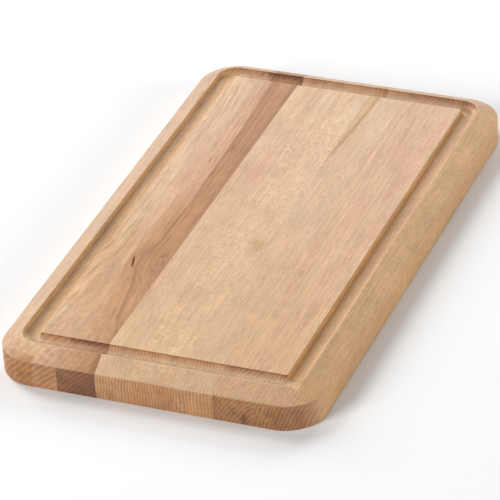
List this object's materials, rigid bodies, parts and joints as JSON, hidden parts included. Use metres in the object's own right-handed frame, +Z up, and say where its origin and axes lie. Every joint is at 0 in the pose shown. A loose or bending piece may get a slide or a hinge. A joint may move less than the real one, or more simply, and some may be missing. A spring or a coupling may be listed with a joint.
{
  "type": "cutting board",
  "caption": "Rectangular hardwood cutting board, edge-glued from full-length staves, with a wide chamfered border and a round-bottomed juice groove around the flat cutting surface.",
  "frame": {"origin": "middle of the underside, on the surface the board rests on", "axes": "+Z up out of the cutting surface, +Y along the length and the grain, +X across the staves"},
  "size_m": [0.299, 0.53, 0.034],
  "materials": {
    "maple_striped": "oiled hard maple, pale with pink and yellow stripes along the grain",
    "maple_heartwood": "oiled hard maple with a brown heartwood band, a slit knot and purple-brown end grain",
    "maple_curly": "oiled hard maple, palest stave, with mottled curly figure",
    "maple_streaked": "oiled hard maple, pale, with one tan mineral streak",
    "maple_plain": "oiled hard maple, pale, fine straight grain, brown end grain",
    "maple_rift": "oiled hard maple, rift cut, cross-rippled edge grain",
    "cured_glue": "thin film of cured wood glue, amber brown"
  },
  "bodies": {
    "root": {"left_edge_stave": "maple_striped", "heartwood_stave": "maple_heartwood", "curly_stave": "maple_curly", "streaked_stave": "maple_streaked", "plain_stave": "maple_plain", "right_edge_stave": "maple_rift", "glue_line_1": "cured_glue", "glue_line_2": "cured_glue", "glue_line_3": "cured_glue", "glue_line_4": "cured_glue", "glue_line_5": "cured_glue"}
  },
  "joints": []
}
